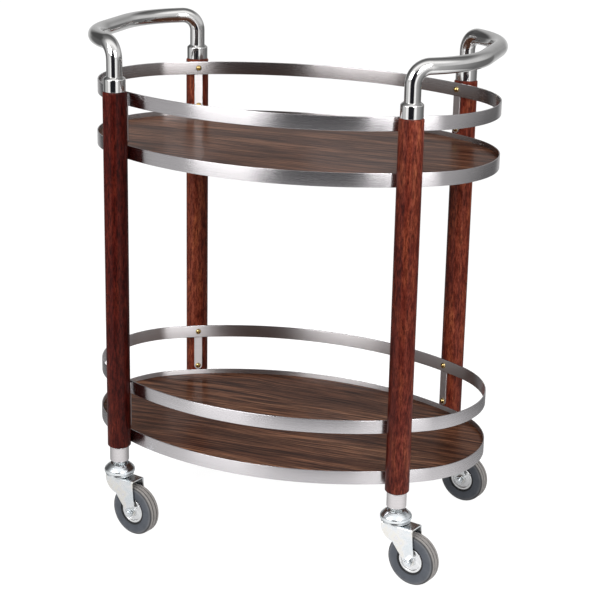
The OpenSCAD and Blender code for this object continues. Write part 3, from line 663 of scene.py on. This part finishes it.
for corner, (across, along) in CORNERS.items():
    low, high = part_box("caster_socket_" + corner)
    shoulder_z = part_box("post_" + corner)[0].z
    socket_outline = raised(SOCKET_LIP, low.z) + hung(SOCKET_COLLAR, shoulder_z) + hung(SPIGOT_END, high.z)
    socket_profile = rounded(socket_outline, SOCKET_ROUND, steps=5)
    socket = turned_piece("nickel_socket_" + corner, socket_profile, nickel)
    socket.location = (across * POST_X, along * POST_Y, 0)
    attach(socket, "frame")
    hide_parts("caster_socket_" + corner)

# Caster stems: zinc-plated steel pins with a hexagon for the spanner, pressed up into the sockets and riveted
# over below the fork's crown.
for corner in CORNERS:
    frame["nodes"]["caster_stem_" + corner].data.materials[0] = plated

# Swivel cups: pressed steel domes over the ball race, bright zinc plated, with the hexagon sunk in the top
# and a rolled skirt around the fork's race.
BRIGHT_CLOUD = (35.0, 3.0, 0.55)
bright_plate = plain_metal(
    "bright_zinc_plate", BRIGHT_CLOUD, [(0.3, (0.64, 0.70, 0.75)), (0.7, (0.78, 0.79, 0.79))],
    BRIGHT_CLOUD, [(0.3, 0.20), (0.7, 0.26)])
CUP_RADIUS, CUP_INSIDE, CUP_ROUND, CASTER_SIDES = 0.025, 0.023, 0.0030, 80
CUP_SKIRT = [(STEM_BORE, 0.0040), (CUP_INSIDE, 0.0040), (CUP_INSIDE, 0.0022), (0.0244, 0.0022),
             (CUP_RADIUS, 0.0030), (CUP_RADIUS, 0.0066), (0.0242, 0.0084), (0.0222, 0.0106)]
CUP_CROWN = [(0.0196, 0.0044), (0.0168, 0.0022), (0.0150, 0.0012), (0.0138, 0.0014), (0.0130, 0.0040),
             (STEM_BORE, 0.0040)]


def caster_frame(corner):
    swivel = Vector(JOINTS["swivel_" + corner]["pos_m"])
    wheel = Vector(JOINTS["wheel_" + corner]["pos_m"])
    trail = (wheel - swivel).to_2d().normalized()
    turn = Matrix(((trail.x, -trail.y, 0), (trail.y, trail.x, 0), (0, 0, 1))).to_4x4()
    return Matrix.Translation((swivel.x, swivel.y, 0)) @ turn


for corner in CORNERS:
    low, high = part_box("swivel_cup_" + corner)
    cup_profile = rounded(raised(CUP_SKIRT, low.z) + hung(CUP_CROWN, high.z), CUP_ROUND, steps=6)
    cup = turned_piece("swivel_dome_" + corner, cup_profile, bright_plate, CASTER_SIDES)
    cup.matrix_world = caster_frame(corner)
    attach(cup, "frame")
    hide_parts("swivel_cup_" + corner)

# Caster forks: one steel blank pressed to a channel, with two cheeks that narrow to the axle's eyes and a
# raised ball race on the crown. Zinc plated, with a milky sheen.
CROWN_TOP, FORK_STEEL, FORK_HALF, FORK_EDGE = 0.095, 0.0025, 0.015, 0.0005
FORK_FRONT, FORK_REAR, TRAIL = -0.018, 0.039, 0.035
FOLD, FOLD_LAP, FOLD_STEPS = 0.0035, 0.0008, 6
EYE_RADIUS, EYE_START, EYE_END, EYE_STEPS = 0.0085, 222, 358, 24
BELLY_RADIUS, BELLY_START, BELLY_SWEEP, BELLY_STEPS = 0.026, 8, 72, 16


def cheek_outline(eye_z, fold_z):
    belly_centre = Vector((FORK_FRONT + BELLY_RADIUS, CROWN_TOP - FORK_STEEL))
    eye = Vector((TRAIL, eye_z))
    outline = [Vector((FORK_FRONT, fold_z))]
    for k in range(BELLY_STEPS + 1):
        turn = math.radians(BELLY_START + BELLY_SWEEP * k / BELLY_STEPS)
        outline.append(belly_centre - BELLY_RADIUS * Vector((math.cos(turn), math.sin(turn))))
    for k in range(EYE_STEPS + 1):
        turn = math.radians(EYE_START + (EYE_END - EYE_START) * k / EYE_STEPS)
        outline.append(eye + EYE_RADIUS * Vector((math.cos(turn), math.sin(turn))))
    outline.append(Vector((FORK_REAR, fold_z)))
    return outline


def fold_line(half, radius, fold_z):
    line = [(half, fold_z)]
    for k in range(FOLD_STEPS + 1):
        turn = math.pi / 2 * k / FOLD_STEPS
        line.append((FORK_HALF - FOLD + radius * math.cos(turn), CROWN_TOP - FOLD + radius * math.sin(turn)))
    return line


def fork_shell(eye_z):
    fold_z = CROWN_TOP - FOLD - FOLD_LAP
    inner_half = FORK_HALF - FORK_STEEL
    outer = fold_line(FORK_HALF, FOLD, fold_z)
    inner = fold_line(inner_half, FOLD - FORK_STEEL, fold_z)
    channel = outer + [(-y, z) for y, z in reversed(outer)]
    channel += [(-y, z) for y, z in inner] + list(reversed(inner))
    crown_verts, crown_faces = slab(channel, FORK_FRONT, FORK_REAR)
    open_edges = {2 * len(outer) - 1, 4 * len(outer) - 1}
    crown_faces = crown_faces[:2] + [face for k, face in enumerate(crown_faces[2:]) if k not in open_edges]
    parts = [(crown_verts, crown_faces)]
    outline = cheek_outline(eye_z, fold_z)
    size = len(outline)
    for outer_y, inner_y in ((FORK_HALF, inner_half), (-FORK_HALF, -inner_half)):
        cheek = [Vector((x, y, z)) for y in (outer_y, inner_y) for x, z in outline]
        sides = [tuple(range(size)), tuple(range(size, 2 * size))[::-1]]
        sides += [(k, k + 1, size + k + 1, size + k) for k in range(size - 1)]
        parts.append((cheek, sides))
    return joined(parts)


FORK_SCUFF = (240.0, 4.0, 0.6)
fork_plate = plain_metal(
    "milky_zinc_plate", (46.0, 2.0, 0.5),
    [(0.34, (0.68, 0.73, 0.76)), (0.46, (0.78, 0.79, 0.80)), (0.56, (0.80, 0.78, 0.73)),
     (0.66, (0.74, 0.75, 0.79))],
    FORK_SCUFF, [(0.3, 0.25), (0.7, 0.34)], FORK_SCUFF, (0.06, 0.0002))
RACE_RADIUS, RACE_BORE, RACE_ROUND = 0.0235, 0.0062, 0.0008
RACE_FOOT = [(RACE_BORE, -FORK_STEEL), (0.0130, -FORK_STEEL), (0.0136, 0.0014), (0.0223, 0.0014),
             (RACE_RADIUS, 0.0022)]
RACE_TOP = [(0.0223, 0.0012), (0.0215, 0), (RACE_BORE, 0)]
for corner in CORNERS:
    eye_z = JOINTS["wheel_" + corner]["pos_m"][2]
    race_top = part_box("fork_" + corner)[1].z
    shell = welded(mesh_piece("pressed_fork_" + corner, *fork_shell(eye_z), fork_plate))
    broken_edges(shell, FORK_EDGE)
    shell.matrix_world = caster_frame(corner)
    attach(shell, "swivel_" + corner)
    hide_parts("fork_" + corner)
    race_profile = rounded(raised(RACE_FOOT, CROWN_TOP) + hung(RACE_TOP, race_top), RACE_ROUND)
    race = turned_piece("ball_race_" + corner, race_profile, bright_plate, CASTER_SIDES)
    race.matrix_world = caster_frame(corner)
    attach(race, "swivel_" + corner)
    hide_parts("fork_" + corner)

# Bearing balls and axle sleeves: hardened steel, ground and oiled, between race and cup and inside each hub.
# They are almost hidden.
BALL_CLOUD = (200.0, 3.0, 0.6)
bearing_steel = plain_metal("ground_bearing_steel", BALL_CLOUD, [(0.3, (0.50, 0.50, 0.51)), (0.7, 0.62)],
                            BALL_CLOUD, [(0.3, 0.14), (0.7, 0.22)])
for corner in CORNERS:
    for hidden in ("swivel_balls_", "axle_sleeve_"):
        frame["nodes"][hidden + corner].data.materials[0] = bearing_steel

# Axle bolts: plated hexagon bolts through both eyes and the sleeve, with a nut on the other side and a short
# end of thread beyond it.
AXLE_RADIUS, AXLE_EASE, AXLE_SIDES, BOLT_EDGE = 0.004, 0.0008, 40, 0.0003
NUT_FLATS, NUT_HEIGHT, NUT_EASE, NUT_CROWN, HEX = 0.013, 0.006, 0.0006, 0.90, 6
THREAD_END, THREAD_START, THREAD_STOP = 0.023, 0.022, 0.018
THREAD_TURNS, THREAD_PITCH, THREAD_DEPTH = 3, 0.0012, 0.0005


def hexagon(low, high):
    sharp = NUT_FLATS / 2 / math.cos(math.pi / HEX)
    rings = ((sharp * NUT_CROWN, low), (sharp, low + NUT_EASE),
             (sharp, high - NUT_EASE), (sharp * NUT_CROWN, high))
    turns = [2 * math.pi * k / HEX for k in range(HEX)]
    verts = [Vector((r * math.cos(turn), r * math.sin(turn), z)) for r, z in rings for turn in turns]
    last = len(verts) - HEX
    faces = [tuple(range(HEX))[::-1], tuple(range(last, last + HEX))]
    for start in range(0, last, HEX):
        for k in range(HEX):
            m = (k + 1) % HEX
            faces.append((start + k, start + m, start + HEX + m, start + HEX + k))
    return verts, faces


def wheel_frame(corner):
    trail, axle = caster_frame(corner).to_3x3().col[0], Vector(JOINTS["wheel_" + corner]["axis"])
    turn = Matrix((trail, axle.cross(trail), axle)).transposed().to_4x4()
    return Matrix.Translation(JOINTS["wheel_" + corner]["pos_m"]) @ turn


rod_profile = [(0.0, -THREAD_END), (AXLE_RADIUS - AXLE_EASE, -THREAD_END),
               (AXLE_RADIUS, AXLE_EASE - THREAD_END)]
for k in range(THREAD_TURNS):
    crest_z = THREAD_PITCH * k - THREAD_START
    rod_profile += [(AXLE_RADIUS, crest_z), (AXLE_RADIUS - THREAD_DEPTH, crest_z + THREAD_PITCH / 2)]
rod_profile += [(AXLE_RADIUS, -THREAD_STOP), (AXLE_RADIUS, FORK_HALF), (0.0, FORK_HALF)]
bolt_parts = [turned(rod_profile, AXLE_SIDES), hexagon(FORK_HALF, FORK_HALF + NUT_HEIGHT),
              hexagon(-FORK_HALF - NUT_HEIGHT, -FORK_HALF)]
for corner in CORNERS:
    bolt = welded(mesh_piece("axle_bolt_" + corner + "_look", *joined(bolt_parts), bright_plate))
    broken_edges(bolt, BOLT_EDGE)
    bolt.matrix_world = wheel_frame(corner)
    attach(bolt, "swivel_" + corner)
    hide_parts("axle_bolt_" + corner)

# Wheel hubs: cast aluminium discs with a bearing boss, a dished web and a raised rim that holds the tyre.
# They have a satin skin and turn on the axle sleeve.
CAST_CLOUD = (160.0, 5.0, 0.6)
cast = plain_metal("satin_cast_aluminium", CAST_CLOUD, [(0.3, (0.72, 0.73, 0.74)), (0.7, 0.86)],
                   CAST_CLOUD, [(0.3, 0.36), (0.7, 0.28)], CAST_CLOUD, (0.10, 0.0003))
HUB_RADIUS, HUB_BORE, HUB_ROUND = 0.0205, 0.0061, 0.0008
HUB_SIDE = [(HUB_BORE, 0.0119), (0.0090, 0.0119), (0.0096, 0.0088), (0.0160, 0.0074), (0.0174, 0.0100),
            (HUB_RADIUS, 0.0100)]
hub_profile = rounded(hung(HUB_SIDE, 0) + list(reversed(HUB_SIDE)), HUB_ROUND)
for corner in CORNERS:
    hub = turned_piece("cast_hub_" + corner, hub_profile, cast, CASTER_SIDES)
    hub.matrix_world = wheel_frame(corner)
    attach(hub, "wheel_" + corner)
    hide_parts("hub_" + corner)

# Tyres: blue-grey rubber moulded on the hubs, with rounded shoulders and two grooves round the tread. The
# tread is scuffed paler than the walls. The rubber is painted near black where it meets the hub and dark in a
# ring at the grooves' floors, which is painted shade.
TYRE_RADIUS, TYRE_HALF, SHOULDER, SHOULDER_STEPS = 0.0415, 0.011, 0.0048, 8
TYRE_SIDES, TYRE_CREASE = 120, 40
TYRE_BEAD = [(0.0206, 0.0098), (0.0223, 0.0100), (0.0231, TYRE_HALF), (0.0310, TYRE_HALF)]
GROOVE, GROOVE_LIP, GROOVE_DEPTH = TYRE_HALF / 3, 0.0004, 0.0018
GROOVE_MOUTH, GROOVE_NECK, GROOVE_FLOOR = 0.0013, 0.0009, 0.0006
WALL_START = 0.0200
rubber, rubber_tree, rubber_place = new_finish("grey_tyre_rubber")
rubber_parts = add_node(rubber_tree, "ShaderNodeSeparateXYZ", {"Vector": rubber_place}).outputs
rubber_flat = add_node(rubber_tree, "ShaderNodeCombineXYZ", {key: rubber_parts[key] for key in "XY"})
rubber_length = add_node(rubber_tree, "ShaderNodeVectorMath", {0: rubber_flat.outputs[0]}, operation="LENGTH")
rubber_reach = mapped(rubber_tree, rubber_length.outputs["Value"], WALL_START, TYRE_RADIUS)
rubber_cloud = grain_noise(rubber_tree, rubber_place, 70.0, 5.0, 0.6)
rubber_speck = grain_noise(rubber_tree, rubber_place, 420.0, 3.0, 0.6)
# Tone by distance from the axle. The near-black ring at the bead beside the hub and the dark ring at the
# grooves' floors are painted shade. A paler band lies on the shoulder, and the tread is paler.
wall_tone_and_shade = add_ramp(rubber_tree, rubber_reach, [
    (0.00, (0.006, 0.006, 0.008)), (0.155, (0.006, 0.007, 0.009)), (0.20, (0.054, 0.061, 0.075)),
    (0.70, (0.066, 0.073, 0.087)), (0.84, (0.105, 0.109, 0.118)), (0.915, (0.030, 0.031, 0.034)),
    (0.940, (0.030, 0.030, 0.031)), (0.985, (0.25, 0.235, 0.225))])
scuff_tone = add_ramp(rubber_tree, rubber_cloud, [(0.3, (0.74, 0.75, 0.76)), (0.7, (1.12, 1.11, 1.10))])
rubber_tone = mixed_colour(rubber_tree, 0.8, wall_tone_and_shade, scuff_tone, "MULTIPLY")
rubber_rough = add_ramp(rubber_tree, rubber_speck, [(0.3, 0.55), (0.7, 0.78)])
end_finish(rubber_tree, {"Base Color": rubber_tone, "Roughness": rubber_rough,
                         "Normal": bumped(rubber_tree, rubber_speck, 0.18, 0.0004)})
tyre_edge = list(TYRE_BEAD)
for k in range(SHOULDER_STEPS + 1):
    turn = math.pi / 2 * k / SHOULDER_STEPS
    tyre_edge.append((TYRE_RADIUS - SHOULDER + SHOULDER * math.sin(turn),
                      TYRE_HALF - SHOULDER + SHOULDER * math.cos(turn)))
groove_wall = [(TYRE_RADIUS, GROOVE_MOUTH), (TYRE_RADIUS - GROOVE_LIP, GROOVE_NECK),
               (TYRE_RADIUS - GROOVE_DEPTH, GROOVE_FLOOR)]
tyre_edge += raised(groove_wall, GROOVE) + hung(reversed(groove_wall), GROOVE)
tyre_profile = tyre_edge + hung(reversed(tyre_edge), 0)
for corner in CORNERS:
    tyre = turned_piece("grey_tyre_" + corner, tyre_profile, rubber, TYRE_SIDES, TYRE_CREASE)
    tyre.matrix_world = wheel_frame(corner)
    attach(tyre, "wheel_" + corner)
    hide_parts("tyre_" + corner)
